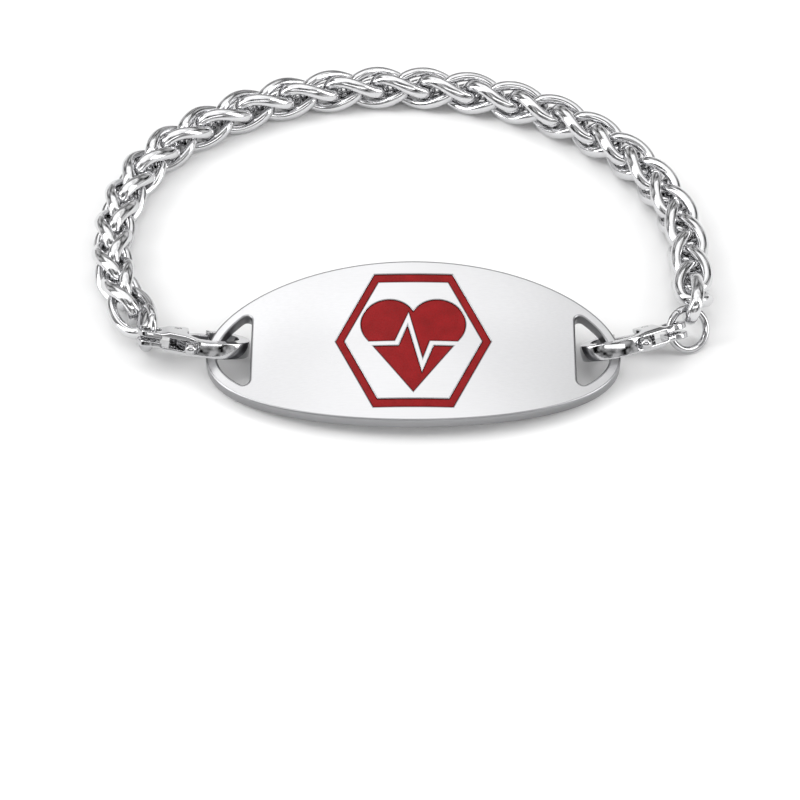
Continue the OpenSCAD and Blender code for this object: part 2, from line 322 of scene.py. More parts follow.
@dataclass(frozen=True)
class WhiteTable:
    """The pale table top."""

    name: str = "white_table"
    shade: Triple = (0.95, 0.95, 0.95)
    roughness: float = 0.9
    gloss: float = 0.1

    def build(self) -> Finish:
        """Makes the material.

        Returns:
            The material, ready for any mesh.
        """
        sheet = NodeSheet(bpy.data.materials.new(self.name))
        return sheet.finish({
            "Base Color": (*self.shade, 1),
            "Roughness": self.roughness,
            "Specular IOR Level": self.gloss,
        })


class NodeSheet:
    """The nodes of a material or a world, of the few kinds that the looks here are made of."""

    def __init__(self, owner: Finish | bpy.types.World) -> None:
        """Takes up the nodes of a new material or world.

        Args:
            owner: The material or the world.
        """
        owner.use_nodes = True
        self.owner = owner
        self.tree = owner.node_tree

    def feed(self, node: bpy.types.Node, values: dict) -> bpy.types.Node:
        """Gives a node's inputs their values, and links those whose value is another node's output.

        Args:
            node: The node.
            values: A number, a tuple or an output for each named input.

        Returns:
            The same node.
        """
        for name, value in values.items():
            if isinstance(value, Socket):
                self.tree.links.new(value, node.inputs[name])
            else:
                node.inputs[name].default_value = value
        return node

    def add(self, kind: str, values: dict) -> bpy.types.Node:
        """Adds a node of a kind with the values of its inputs."""
        return self.feed(self.tree.nodes.new(kind), values)

    def finish(self, values: dict) -> Finish:
        """Gives the material's shader its values, and returns the material."""
        self.feed(self.tree.nodes["Principled BSDF"], values)
        return self.owner

    def place(self, kind: str) -> Socket:
        """The coordinates of a kind, such as "Object"."""
        return self.add("ShaderNodeTexCoord", {}).outputs[kind]

    def stretched(self, place: Socket, scale: tuple) -> Socket:
        """The coordinates scaled by an amount along each axis."""
        return self.add("ShaderNodeMapping", {"Vector": place, "Scale": scale}).outputs["Vector"]

    def noise(self, place: Socket, scale: float, detail: float) -> Socket:
        """Soft noise from 0 to 1."""
        node = self.add("ShaderNodeTexNoise", {"Vector": place, "Scale": scale, "Detail": detail})
        return node.outputs["Fac"]

    def spread(self, value: Socket, low: float, high: float, usual: tuple = USUAL_NOISE) -> Socket:
        """A noise value carried from its usual range to a wanted one."""
        ranges = {"From Min": usual[0], "From Max": usual[1], "To Min": low, "To Max": high}
        return self.add("ShaderNodeMapRange", {"Value": value, **ranges}).outputs["Result"]

    def average(self, one: Socket, other: Socket) -> Socket:
        """The middle of two values."""
        return self.add("ShaderNodeMix", {"A": one, "B": other}).outputs["Result"]

    def mixed(self, value: Socket, low: tuple, high: tuple) -> Socket:
        """A colour between two, chosen by a noise value.

        Args:
            value: The noise.
            low: The colour for the low end of its usual range.
            high: The colour for the high end.

        Returns:
            The colour's output.
        """
        node = self.add("ShaderNodeValToRGB", {"Fac": value})
        for stop, position, colour in zip(node.color_ramp.elements, USUAL_NOISE, (low, high)):
            stop.position = position
            stop.color = (*colour, 1)
        return node.outputs["Color"]

    def bump(self, value: Socket, strength: float, height: float) -> Socket:
        """A normal bumped by a noise value, of so many metres' height."""
        values = {"Height": value, "Strength": strength, "Distance": height}
        return self.add("ShaderNodeBump", values).outputs["Normal"]


@dataclass
class Emblem:
    """The enamelled emblem: a six-sided border round a heart that a bare pulse line crosses."""

    border_half_width: float = 9.35
    border_half_height: float = 9.3
    border_half_edge: float = 4.75
    border_band: float = 0.86
    top_band_share: float = 7 / 6
    lobe_radius: float = 3.35
    lobe_offset: float = 2.95
    lobe_height: float = 2.3
    point_depth: float = 7.2
    pulse_width: float = 0.8
    corner_limit: float = 2.2
    ray_length: float = 12.0
    ray_steps: int = 500
    ray_halvings: int = 18
    pulse_corners: tuple = (
        (-2.6, -0.15), (-0.60, -0.15), (-0.18, 0.95), (0.32, -1.15), (0.66, -0.15), (2.6, -0.15),
    )

    @property
    def half_point(self) -> float:
        """Half the angle of the heart's point, between its middle line and a side that touches a lobe.

        Returns:
            The angle in radians.
        """
        rise = self.lobe_height + self.point_depth
        slant = math.hypot(self.lobe_offset, rise)
        return math.atan2(self.lobe_offset, rise) + math.asin(self.lobe_radius / slant)

    def in_heart(self, x: Array, y: Array, grow: float) -> Array:
        """Whether points lie in the heart: in a lobe, or between the sides and below where they touch it.

        Args:
            x: The points' x.
            y: Their y.
            grow: How far the heart is grown all round.

        Returns:
            True for each point inside.
        """
        across, up = np.abs(x) - self.lobe_offset, y - self.lobe_height
        lobe = across**2 + up**2 < (self.lobe_radius + grow) ** 2
        c, s = math.cos(self.half_point), math.sin(self.half_point)
        wedge = (np.abs(x) * c - (y + self.point_depth) * s < grow) & (across * s + up * c < 0) & (up < 0)
        return lobe | wedge

    def heart_reach(self, angles: Array, grow: float) -> Array:
        """How far the heart reaches from the middle, along rays.

        Each ray is stepped until it leaves the heart, and the last step is then halved until the edge is
        found.

        Args:
            angles: The rays' directions in radians.
            grow: How far the heart is grown all round.

        Returns:
            One distance for each ray.
        """
        steps = np.linspace(0, self.ray_length, self.ray_steps)
        c, s = np.cos(angles), np.sin(angles)
        hit = self.in_heart(np.outer(c, steps), np.outer(s, steps), grow)
        first_out = np.maximum(np.argmin(hit, axis=1), 1)
        low, high = steps[first_out - 1], steps[first_out]
        for _ in range(self.ray_halvings):
            middle = (low + high) / 2
            still_in = self.in_heart(c * middle, s * middle, grow)
            low, high = np.where(still_in, middle, low), np.where(still_in, high, middle)
        return low

    def border_loop(self, inset: float, count: int) -> Array:
        """Points round the border's outline, evenly along each straight side.

        Args:
            inset: How far the outline is set in.
            count: Points along each of its six sides.

        Returns:
            The points, from the right tip round by the top.
        """
        slant = np.array([self.border_half_height, self.border_half_width - self.border_half_edge])
        lean = slant[0] / np.linalg.norm(slant)
        tip = self.border_half_width - inset / lean
        top = self.border_half_height - inset * self.top_band_share
        edge = tip - top * slant[1] / slant[0]
        corners = np.array([[tip, 0], [edge, top], [-edge, top], [-tip, 0], [-edge, -top], [edge, -top]])
        share = (np.arange(count) / count)[None, :, None]
        return (corners[:, None] * (1 - share) + np.roll(corners, -1, 0)[:, None] * share).reshape(-1, 2)

    def pulse_edge(self, side: int, grow: float, per_run: tuple = (26, 12, 18, 12, 26)) -> Array:
        """Points along an edge of the pulse line, from where it enters the heart to where it leaves.

        Each corner moves sideways by half the line's width, and a sharp corner's outer side is kept short.

        Args:
            side: 1 for the upper edge, -1 for the lower.
            grow: How far the heart's halves are grown all round.
            per_run: Points along each straight run.

        Returns:
            The points, from left to right.
        """
        off = self.pulse_width / 2 - grow
        corners = np.array(self.pulse_corners) * self.lobe_radius
        runs = unit(np.diff(corners, axis=0))
        normals = np.stack([-runs[:, 1], runs[:, 0]], -1)
        sideways = unit(normals[:-1] + normals[1:])
        mitre = off / np.sum(sideways * normals[:-1], -1)
        bend = runs[:-1, 0] * runs[1:, 1] - runs[:-1, 1] * runs[1:, 0]
        mitre = np.where(side * bend < 0, np.minimum(mitre, self.corner_limit * off), mitre)
        inner = corners[1:-1] + side * sideways * mitre[:, None]
        height = corners[0, 1] + side * off
        end = self.side_at(height, grow)
        points = np.concatenate([[[-end, height]], inner, [[end, height]]])
        places = np.concatenate([i + np.arange(n) / n for i, n in enumerate(per_run)] + [[len(per_run)]])
        return np.stack([np.interp(places, np.arange(len(points)), points[:, k]) for k in (0, 1)], -1)

    def side_at(self, height: float, grow: float) -> float:
        """Half width of the heart's straight-sided part at a height."""
        c, s = math.cos(self.half_point), math.sin(self.half_point)
        return (grow + (height + self.point_depth) * s) / c

    def exit_angle(self, side: int, grow: float) -> float:
        """Direction from the middle to where an edge of the pulse line leaves the heart on the right."""
        height = self.pulse_corners[0][1] * self.lobe_radius + side * (self.pulse_width / 2 - grow)
        return math.atan2(height, self.side_at(height, grow))

    def spans(self, count: int, grow: float) -> Array:
        """Where the heart's outline goes from one run to the next, in a loop in step with the border's.

        Args:
            count: Points in the loop.
            grow: How far the heart is grown all round.

        Returns:
            The points' numbers: where the pulse line's upper edge leaves on the right, the cleft, where
            its two edges leave on the left, the point, and where its lower edge leaves on the right.
        """
        angles = np.unwrap(np.arctan2(*self.border_loop(0, count // 6).T[::-1]))
        exits = [self.exit_angle(side, grow) % (2 * math.pi) for side in (1, -1)]
        upper, lower = (int(np.abs(angles - leaving).argmin()) for leaving in exits)
        half = count // 2
        left = [half + count - upper, half + count - lower]
        return np.array([upper - count, half // 2, *left, half + half // 2, lower])

    def heart_loop(self, grow: float, spans: Array, count: int) -> Array:
        """Points round the heart, in step with the border's points.

        The directions run evenly between the cleft, the point and the four places where the pulse line
        leaves. Across the line's two ends the loop goes straight from one of its edges to the other.

        Args:
            grow: How far the outline is grown all round.
            spans: The numbers at which the runs begin.
            count: Points in the loop.

        Returns:
            The points, the first of which stands at the first of spans.
        """
        up, down = (self.exit_angle(s, grow) for s in (1, -1))
        half, full = math.pi, 2 * math.pi
        turns = [up, half / 2, half - up, half - down, half * 1.5, full + down, full + up]
        knots = np.append(spans, spans[0] + count) - spans[0]
        angles = np.interp(np.arange(count), knots, turns)
        radii = self.heart_reach(angles, grow)
        loop = np.stack([radii * np.cos(angles), radii * np.sin(angles)], -1)
        for first, last in ((knots[2], knots[3]), (knots[5], knots[6])):
            share = (np.arange(last - first) / (last - first))[:, None]
            loop[first:last] = loop[first] * (1 - share) + loop[last % count] * share
        return loop


@dataclass
class Plate:
    """The curved oval plate: satin faces, edges darkened by painted shade, two slots and the emblem's
    recesses.
    """

    length: float = 50.5
    height: float = 22.6
    thickness: float = 1.8
    bend_radius: float = 83.0
    lean: float = 17.5
    rise: float = 6.6
    slot_rim_tip: float = 1.35
    slot_rim_side: float = 1.7
    slot_start: float = 19.7
    slot_corner: float = 0.7
    edge_round: float = 0.22
    recess_round: float = 0.09
    face_margin: float = 0.04
    clearance: float = 0.04
    recess_depth: float = 0.35
    enamel_depth: float = 0.06
    enamel_round: float = 0.12
    corner_bend: float = 0.01
    back_middle: float = 0.03
    loop_points: int = 480
    corner_points: int = 13
    arc_points: int = 97
    side_points: int = 121
    dense_points: int = 4000
    rim_steps: int = 6
    face_rows: int = 13
    heart_rows: int = 9
    back_rows: int = 16
    enamel_rim_steps: int = 5
    enamel_columns: int = 241
    enamel_rows: int = 31
    emblem: Emblem = field(default_factory=Emblem)

    def place(self, flat: Array, depth: Array | float) -> Array:
        """Carries flat points to a depth below the curved, leaning face.

        The face is a cylinder: z = sqrt((R - depth)^2 - x^2) - R. It is then turned about X and raised.

        Args:
            flat: Points with x along the plate and y across it.
            depth: How far below the face they go, towards the cylinder's axis.

        Returns:
            The points in the plate's frame.
        """
        z = np.sqrt((self.bend_radius - depth) ** 2 - flat[..., 0] ** 2) - self.bend_radius
        curved = np.stack([flat[..., 0], flat[..., 1], z], -1)
        return curved @ rotation("x", self.lean).T + [0, 0, self.rise]

    def stack(self, loops: list[Array], depths: list[float]) -> Array:
        """Flat loops at their depths, as the rows of a grid."""
        return np.stack([self.place(loop, depth) for loop, depth in zip(loops, depths)])

    def oval(self, angles: Array, inset: float) -> Array:
        """The plate's outline, an ellipse moved inwards along its normals."""
        return self._ellipse(self.length / 2, self.height / 2, angles, -inset)

    def slot_arc(self, angles: Array, grow: float) -> Array:
        """The slots' round outer wall, an ellipse moved outwards along its normals."""
        half = (self.length / 2 - self.slot_rim_tip, self.height / 2 - self.slot_rim_side)
        return self._ellipse(*half, angles, grow)

    def slot_round(self, grow: float) -> Array:
        """A slot's edge without its straight side: a rounded corner, the outer wall and the other corner.

        Args:
            grow: How far the edge is moved outwards.

        Returns:
            The points of the right-hand slot, from its lower corner to its upper one.
        """
        r = self.slot_corner
        last = self._angle_at(self.slot_arc, self.slot_start + r, -r)
        middle, wall = self.slot_arc(np.array([last]), -r)[0], self.slot_arc(np.array([last]), 0.0)[0]
        turn = np.linspace(math.atan2(*(wall - middle)[::-1]), math.pi, self.corner_points)[1:, None]
        corner = middle + (r + grow) * np.concatenate([np.cos(turn), np.sin(turn)], 1)
        arc = self.slot_arc(np.linspace(-last, last, self.arc_points), grow)
        return np.concatenate([(corner * [1, -1])[::-1], arc, corner])

    @staticmethod
    def _ellipse(a: float, b: float, angles: Array, grow: float) -> Array:
        """The ellipse (a cos t, b sin t), moved along its unit normals, which go as (b cos t, a sin t)."""
        c, s = np.cos(angles), np.sin(angles)
        return np.stack([a * c, b * s], -1) + grow * unit(np.stack([b * c, a * s], -1))

    def _angle_at(self, curve: Callable[[Array, float], Array], x: float, moved: float) -> float:
        """The angle on the upper right quarter of a curve where it has a given x."""
        dense = np.linspace(0, np.pi / 2, self.dense_points)
        return float(np.interp(-x, -curve(dense, moved)[:, 0], dense))

    def wall_profile(self, radius: float, deep: float, both: bool) -> tuple[Array, Array]:
        """The rows of a wall with a rounded rim: how far each stands off the wall, and its depth.

        Args:
            radius: The rim's radius.
            deep: Depth of the wall's foot.
            both: Whether the foot is rounded too.

        Returns:
            Distances off the wall, and depths.
        """
        rim = round_edge(radius, self.rim_steps)
        off = np.append(radius + self.face_margin, rim[:, 0])
        depth = np.append(0.0, rim[:, 1])
        if not both:
            return np.append(off, 0.0), np.append(depth, deep)
        return np.append(off, off[::-1]), np.append(depth, deep - depth[::-1])

    def outline(self) -> tuple[Array, Array, Array, int]:
        """The loop in which the flat part of the face ends, as the emblem's middle sees it.

        It follows the slots' straight sides and, above and below them, the plate's rim. The loop has its
        points in the same directions as the border's.

        Returns:
            The loop, the rim's angles between the slots, the shares across the rim beside a slot, and the
            number of the point at the slot's corner.
        """
        off = self.edge_round + self.face_margin
        slot_x = self.slot_start - off
        slot_top = self.slot_round(off)[-1, 1]
        rim_angle = self._angle_at(self.oval, slot_x, off)
        rim_top = self.oval(np.array([rim_angle]), off)[0, 1]
        border = self.emblem.border_loop(0, self.loop_points // 6)
        quarter = self.loop_points // 4
        angle = np.arctan2(border[:quarter + 1, 1], border[:quarter + 1, 0])
        corner, rim = (int(np.abs(angle - math.atan2(y, slot_x)).argmin()) for y in (slot_top, rim_top))
        angle[corner], angle[rim] = math.atan2(slot_top, slot_x), math.atan2(rim_top, slot_x)
        straight = np.stack([np.full(rim, slot_x), slot_x * np.tan(angle[:rim])], -1)
        dense = np.linspace(0, np.pi / 2, self.dense_points)
        seen = np.arctan2(*self.oval(dense, off).T[::-1])
        on_rim = np.interp(angle[rim:], seen, dense)
        first = np.concatenate([straight, self.oval(on_rim, off)])
        half = np.concatenate([first, (first * [-1, 1])[-2::-1]])
        loop = np.concatenate([half, (half * [1, -1])[-2:0:-1]])
        shares = (first[corner:rim + 1, 1] - slot_top) / (rim_top - slot_top)
        return loop, on_rim, shares, corner

    def patches(self) -> list[Patch]:
        """All the surfaces of the plate.

        Returns:
            Its rim, the slots' walls, the strips beside the slots, the face and the back.
        """
        loop, on_rim, shares, corner = self.outline()
        off, depth = self.wall_profile(self.edge_round, self.thickness, both=True)
        side = np.linspace(-on_rim[0], on_rim[0], self.side_points)[1:-1]
        upper = np.concatenate([on_rim, np.pi - on_rim[-2::-1]])
        angles = np.concatenate([upper, np.pi + side, -upper[::-1], side])
        wall = Patch(self.stack([self.oval(angles, o) for o in off], depth), finish=1)
        margin = self.edge_round + self.face_margin
        parts = [wall]
        for hand in (1, -1):
            parts.append(Patch(self._slot_loops(off, depth, loop, corner, hand), finish=1))
            inner = self.slot_round(margin)
            end = self._angle_at(self.oval, self.slot_start - margin, margin)
            outer = self.oval(np.linspace(-end, end, len(inner)), margin)
            rows = inner + (outer - inner) * shares[:, None, None]
            for level in (0.0, self.thickness):
                parts.append(Patch(self.place(rows * [hand, 1], level), close_columns=False))
        return parts + self._face(loop) + [self._back(loop)]

    def _slot_loops(self, off: Array, depth: Array, loop: Array, corner: int, hand: int) -> Array:
        """The rows of a slot's wall: its arc, and its straight side in step with the face's points.

        Args:
            off: How far each row stands off the wall.
            depth: The rows' depths.
            loop: The flat face's end, as outline gives it.
            corner: The number of its point at the slot's corner.
            hand: 1 for the right slot, -1 for the left.

        Returns:
            The rows as a grid.
        """
        straight = loop[1:corner, 1] / loop[corner, 1]
        straight = np.concatenate([straight[::-1], [0], -straight])
        loops = []
        for o in off:
            arc = self.slot_round(o)
            side = np.stack([np.full(len(straight), arc[-1, 0]), arc[-1, 1] * straight], -1)
            loops.append(np.concatenate([arc, side]) * [hand, 1])
        return self.stack(loops, depth)

    def _face(self, loop: Array) -> list[Patch]:
        """The face round the emblem, the recesses, and the bare steel within the border and the heart.

        Between two loops the rows are shares of the way from one to the other.

        Args:
            loop: The loop in which the flat part of the face ends.

        Returns:
            The surfaces.
        """
        emblem, count = self.emblem, self.loop_points
        off, depth = self.wall_profile(self.recess_round, self.recess_depth, both=False)
        grow = self.clearance + off
        per_side = count // 6
        outer = [emblem.border_loop(-g, per_side) for g in grow]
        inner = [emblem.border_loop(emblem.border_band + g, per_side) for g in grow]
        spans = emblem.spans(count, grow[0])
        hearts = [np.roll(emblem.heart_loop(g, spans, count), spans[0], axis=0) for g in grow]
        steps = np.linspace(0, 1, self.face_rows)[:, None, None]
        middle_steps = np.linspace(0, 1, self.heart_rows)[:, None, None]
        parts = [
            Patch(self.place(outer[0] + (loop - outer[0]) * steps, 0.0)),
            Patch(self.stack(outer + inner[::-1], [*depth, *depth[::-1]]), finish=1),
            Patch(self.place(hearts[0] + (inner[0] - hearts[0]) * middle_steps, 0.0)),
        ]
        lines = {s: [emblem.pulse_edge(s, g) for g in grow] for s in (1, -1)}
        across = np.linspace(0, 1, spans[3] - spans[2] + 1)[:, None, None]
        pulse = lines[-1][0] + (lines[1][0] - lines[-1][0]) * across
        parts.append(Patch(self.place(pulse, 0.0), close_columns=False))
        for s, first, last in ((1, spans[0], spans[2]), (-1, spans[3], spans[5])):
            numbers = np.arange(first, last + 1) % count
            edges = [np.concatenate([h[numbers], line[1:-1][::s]]) for h, line in zip(hearts, lines[s])]
            parts.append(Patch(self.stack(edges, depth), caps=(-1,), finish=1))
        return parts

    def _back(self, loop: Array) -> Patch:
        """The plain back, in rings that shrink to its middle."""
        shrink = np.linspace(1, self.back_middle, self.back_rows)[:, None, None]
        return Patch(self.place(loop * shrink, self.thickness), caps=(-1,))

    def enamel_border(self) -> list[Patch]:
        """The border's enamel: a band whose edges round down into the recess by quarter circles.

        Returns:
            One grid, closed below.
        """
        band = self.emblem.border_band
        rim = round_edge(self.enamel_round, self.enamel_rim_steps)[::-1]
        top = np.array([*rim[:, 0], *(band - rim[::-1, 0])])
        down = np.array([*rim[:, 1], *rim[::-1, 1]]) + self.enamel_depth
        foot = self.recess_depth - self.clearance / 2
        loops = [self.emblem.border_loop(inset, self.loop_points // 6) for inset in [0.0, *top, band]]
        return [Patch(self.stack(loops, [foot, *down, foot]), close_rows=True)]

    def enamel_half(self, side: int) -> list[Patch]:
        """The enamel of half a heart: upright lines between the pulse line and the heart's outline.

        The lobes are circles and the sides are straight. The lines and rows are spaced by a cosine, closest
        together at the edges.

        Args:
            side: 1 for the upper half, -1 for the lower.

        Returns:
            One grid, closed below. Its depth rises to the foot's along a quarter circle near every edge.
        """
        emblem = self.emblem
        line = emblem.pulse_edge(side, 0.0)
        end = line[-1, 0]
        r, off_x, mid_y = emblem.lobe_radius, emblem.lobe_offset, emblem.lobe_height
        widest = off_x + r if side > 0 else end
        x = widest * np.sin(np.linspace(-np.pi / 2, np.pi / 2, self.enamel_columns))
        fixed = np.concatenate([line[:, 0], [0.0]])
        fixed = fixed[np.append(self._is_corner(line), True)]
        x[np.abs(x[:, None] - fixed[None, :]).argmin(0)] = fixed
        up = np.sqrt(np.maximum(r**2 - (np.abs(x) - off_x) ** 2, 0.0))
        straight = np.abs(x) / math.tan(emblem.half_point) - emblem.point_depth
        pulse = np.interp(x, line[:, 0], line[:, 1])
        if side > 0:
            touch = off_x + r * math.cos(emblem.half_point)
            low = np.where(np.abs(x) <= end, pulse, np.where(np.abs(x) < touch, straight, mid_y - up))
            high = mid_y + up
        else:
            low, high = straight, pulse
        v = 0.5 - 0.5 * np.cos(np.pi * np.linspace(0, 1, self.enamel_rows))
        y = low + (high - low) * v[:, None]
        flat = np.stack([np.broadcast_to(x, y.shape), y], -1)
        near = self._edge_distance(flat, line)
        drop = 1 - np.clip(near / self.enamel_round, 0, 1)
        depth = self.enamel_depth + self.enamel_round * (1 - np.sqrt(1 - drop**2))
        foot = self.recess_depth - self.clearance / 2
        rows = np.concatenate([flat[:1], flat, flat[-1:]])
        depths = np.concatenate([np.full((1, len(x)), foot), depth, np.full((1, len(x)), foot)])
        return [Patch(self.place(rows, depths), close_rows=True, close_columns=False)]

    def _is_corner(self, line: Array) -> Array:
        """Which points of a line are its corners, where its direction changes."""
        change = np.diff(unit(np.diff(line, axis=0)), axis=0)
        return np.concatenate([[False], np.linalg.norm(change, axis=1) > self.corner_bend, [False]])

    def _edge_distance(self, flat: Array, line: Array) -> Array:
        """Distance of points in half a heart from its outline or from the pulse line, the nearer of them.

        Args:
            flat: The points.
            line: The pulse line's edge, whose straight runs lie between its corners.

        Returns:
            One distance for each point.
        """
        emblem = self.emblem
        across, up = np.abs(flat[..., 0]) - emblem.lobe_offset, flat[..., 1] - emblem.lobe_height
        c, s = math.cos(emblem.half_point), math.sin(emblem.half_point)
        in_lobe = emblem.lobe_radius - np.hypot(across, up)
        in_point = (flat[..., 1] + emblem.point_depth) * s - np.abs(flat[..., 0]) * c
        low = (across * s + up * c < 0) & (up < 0)
        outline = np.where(low, np.maximum(in_lobe, in_point), in_lobe)
        corners = line[self._is_corner(line) | (np.arange(len(line)) % (len(line) - 1) == 0)]
        runs = np.diff(corners, axis=0)
        to_point = flat[..., None, :] - corners[:-1]
        share = np.clip(np.sum(to_point * runs, -1) / np.sum(runs**2, -1), 0, 1)
        pulse = np.linalg.norm(to_point - share[..., None] * runs, axis=-1).min(-1)
        return np.maximum(np.minimum(outline, pulse), 0.0)

    def build(self, satin: Finish, edge: Finish, enamel: Finish) -> None:
        """Makes the plate and its enamel.

        Args:
            satin: The faces' finish.
            edge: The finish of the rim, of the slots' walls and of the recesses: satin steel darkened as
                painted shade.
            enamel: The enamel's finish.
        """
        plate = mesh_object("oval_plate", self.patches(), [satin, edge], ROOT_BODY)
        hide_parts("plate")
        log.info("oval plate: %d faces", len(plate.data.polygons))
        pieces = {
            "enamel_border": self.enamel_border(),
            "enamel_heart_upper": self.enamel_half(1),
            "enamel_heart_lower": self.enamel_half(-1),
        }
        for node, patches in pieces.items():
            piece = mesh_object(node.replace("enamel", "red_enamel"), patches, [enamel], ROOT_BODY)
            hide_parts(node)
            log.info("%s: %d faces", piece.name, len(piece.data.polygons))


@dataclass
class Clasp:
    """A lobster clasp with its sprung lever, pin and jump ring, at one end of the plate."""

    side: Side
    eye: Triple
    turn: Triple
    ring_hang: Pair
    ring_radius: float = 2.55
    ring_wire: float = 0.9
    ring_seam: float = 0.08
    ring_seam_at: float = 118.0
    ring_seat: float = 0.3
    pivot: Pair = (3.13043, 0.525)
    pin_radius: float = 0.4
    pin_length: float = 2.6
    pin_round: float = 0.12
    pin_dome: float = 0.04
    pin_middle: float = 0.05
    weld_distance: float = 0.001
    voxel: float = 0.065
    rounds: int = 13
    round_share: float = 0.5
    knob: Triple = (4.7, -4.7, 0.0)
    knob_radius: float = 0.6
    knob_reach: float = 0.86
    knob_swell: float = 0.3
    knob_lift: float = 0.3
    eye_radius: float = 1.8
    half_thickness: float = 1.3
    claw_middle: float = 7.513
    claw_half_length: float = 4.487
    claw_half_width: float = 3.75
    claw_offset: float = 1.2
    crown: float = 0.16
    crown_from: float = 0.75
    dome: float = 0.05
    ring_rows: int = 161
    ring_columns: int = 24
    ring_end_share: float = 0.9
    pin_rim_steps: int = 5
    pin_dome_rows: int = 6
    pin_columns: int = 48

    def matrix(self) -> Array:
        """The turn from the clasp's own axes to the plate's: about X, Y and Z, and mirrored on the right.

        Returns:
            The matrix, 3 by 3.
        """
        a, b, c = self.turn
        mirror = np.diag([1.0 if self.side is Side.LEFT else -1.0, 1.0, 1.0])
        return mirror @ rotation("z", c) @ rotation("y", b) @ rotation("x", a)

    def out(self, local: Array) -> Array:
        """Carries points of the clasp's own axes to the plate's."""
        return local @ self.matrix().T + self.eye

    def softened(self, node: str) -> bpy.types.Mesh:
        """A copy of a CAD solid with worn, rounded edges, in millimetres of the scene.

        The copy is turned into the clasp's own axes, so that its flat cheeks stay flat. There it is made
        again in fine cubes, and its edges are rounded by moving every point towards its neighbours' middle.

        Args:
            node: The CAD node.

        Returns:
            The new mesh.
        """
        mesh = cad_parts[node].data.copy()
        points = np.empty(len(mesh.vertices) * 3)
        mesh.vertices.foreach_get("co", points)
        placed = points.reshape(-1, 3) / MM + FOOTPRINT_MIDDLE
        mesh.vertices.foreach_set("co", ((placed - self.eye) @ self.matrix()).ravel())
        welder = bmesh.new()
        welder.from_mesh(mesh)
        bmesh.ops.remove_doubles(welder, verts=welder.verts, dist=self.weld_distance)
        bmesh.ops.recalc_face_normals(welder, faces=welder.faces)
        welder.to_mesh(mesh)
        welder.free()
        mesh.materials.clear()
        blank = bpy.data.objects.new("blank", mesh)
        bpy.context.scene.collection.objects.link(blank)
        remesh = blank.modifiers.new("cubes", "REMESH")
        remesh.mode = "VOXEL"
        remesh.voxel_size = self.voxel
        smooth = blank.modifiers.new("polish", "SMOOTH")
        smooth.iterations = self.rounds
        smooth.factor = self.round_share
        worn = bpy.data.meshes.new_from_object(blank.evaluated_get(bpy.context.evaluated_depsgraph_get()))
        bpy.data.objects.remove(blank)
        points = np.empty(len(worn.vertices) * 3)
        worn.vertices.foreach_get("co", points)
        shaped = self.shaped(points.reshape(-1, 3))
        if "lever" in node:
            shaped = self.knobbed(shaped)
        worn.vertices.foreach_set("co", (self.out(shaped) - FOOTPRINT_MIDDLE).ravel())
        return worn

    def shaped(self, local: Array) -> Array:
        """Turns the cut-out form into a cast one: domed cheeks and a crowned band round the edge.

        A point's share is how far out it lies between the clasp's long axis and its outline. Near the
        outline the point moves inwards by the crown times z squared, z being a part of half the thickness,
        and z shrinks by the dome times the share squared.

        Args:
            local: Points in the clasp's own axes.

        Returns:
            The moved points. Points near each other move alike, so pieces that clear each other still do.
        """
        x, y, z = local.T
        along = np.clip(x / self.claw_middle, 0.0, 1.0)
        half = self.eye_radius + (self.claw_half_width - self.eye_radius) * along
        end = np.maximum(x - self.claw_middle, 0.0) / self.claw_half_length
        side = (y + self.claw_offset * along) / half
        share = np.hypot(end, side)
        rim = np.clip((share - self.crown_from) / (1 - self.crown_from), 0.0, 1.0)
        inwards = unit(np.stack([end / self.claw_half_length, side / half], -1) + [0.0, TINY])
        moved = (self.crown * rim * (z / self.half_thickness) ** 2)[:, None] * inwards
        thin = 1 - self.dome * np.clip(share, 0.0, 1.0) ** 2
        return np.stack([x - moved[:, 0], y - moved[:, 1], z * thin], -1)

    def knobbed(self, local: Array) -> Array:
        """Swells the ball of the lever's thumb knob, which the rounding wears down, and moves it outwards.

        Args:
            local: Points of the lever in the clasp's own axes.

        Returns:
            The moved points. The change fades to nothing at the knob's reach.
        """
        off = local - self.knob
        distance = np.linalg.norm(off, axis=-1, keepdims=True)
        near = np.clip((self.knob_reach - distance) / (self.knob_reach - self.knob_radius), 0.0, 1.0)
        return self.knob + off * (1 + self.knob_swell * near) - near * [0.0, self.knob_lift, 0.0]

    def ring(self) -> list[Patch]:
        """The jump ring: round wire bent round a circle, with its two cut ends face to face at the seam.

        Its points are ((R + r cos w) cos t, (R + r cos w) sin t, r sin w), turned to hang in the eye.

        Returns:
            One grid, closed at both ends.
        """
        half_seam = self.ring_seam / 2 / self.ring_radius
        turn = np.linspace(half_seam, 2 * math.pi - half_seam, self.ring_rows)[:, None]
        turn = math.radians(self.ring_seam_at) + turn
        wire = np.linspace(0, 2 * np.pi, self.ring_columns, endpoint=False)
        shrink = np.ones((self.ring_rows, 1))
        shrink[[0, -1]] = self.ring_end_share
        thick = self.ring_wire / 2 * shrink
        reach_out = self.ring_radius + thick * np.cos(wire)
        flat = [reach_out * np.cos(turn), reach_out * np.sin(turn), thick * np.sin(wire)]
        hang = rotation("z", self.ring_hang[0]) @ rotation("y", -self.ring_hang[1])
        local = np.stack(flat, -1) @ rotation("x", 90).T + [self.ring_radius - self.ring_seat, 0, 0]
        return [Patch(self.out(local @ hang.T), caps=(0, -1))]

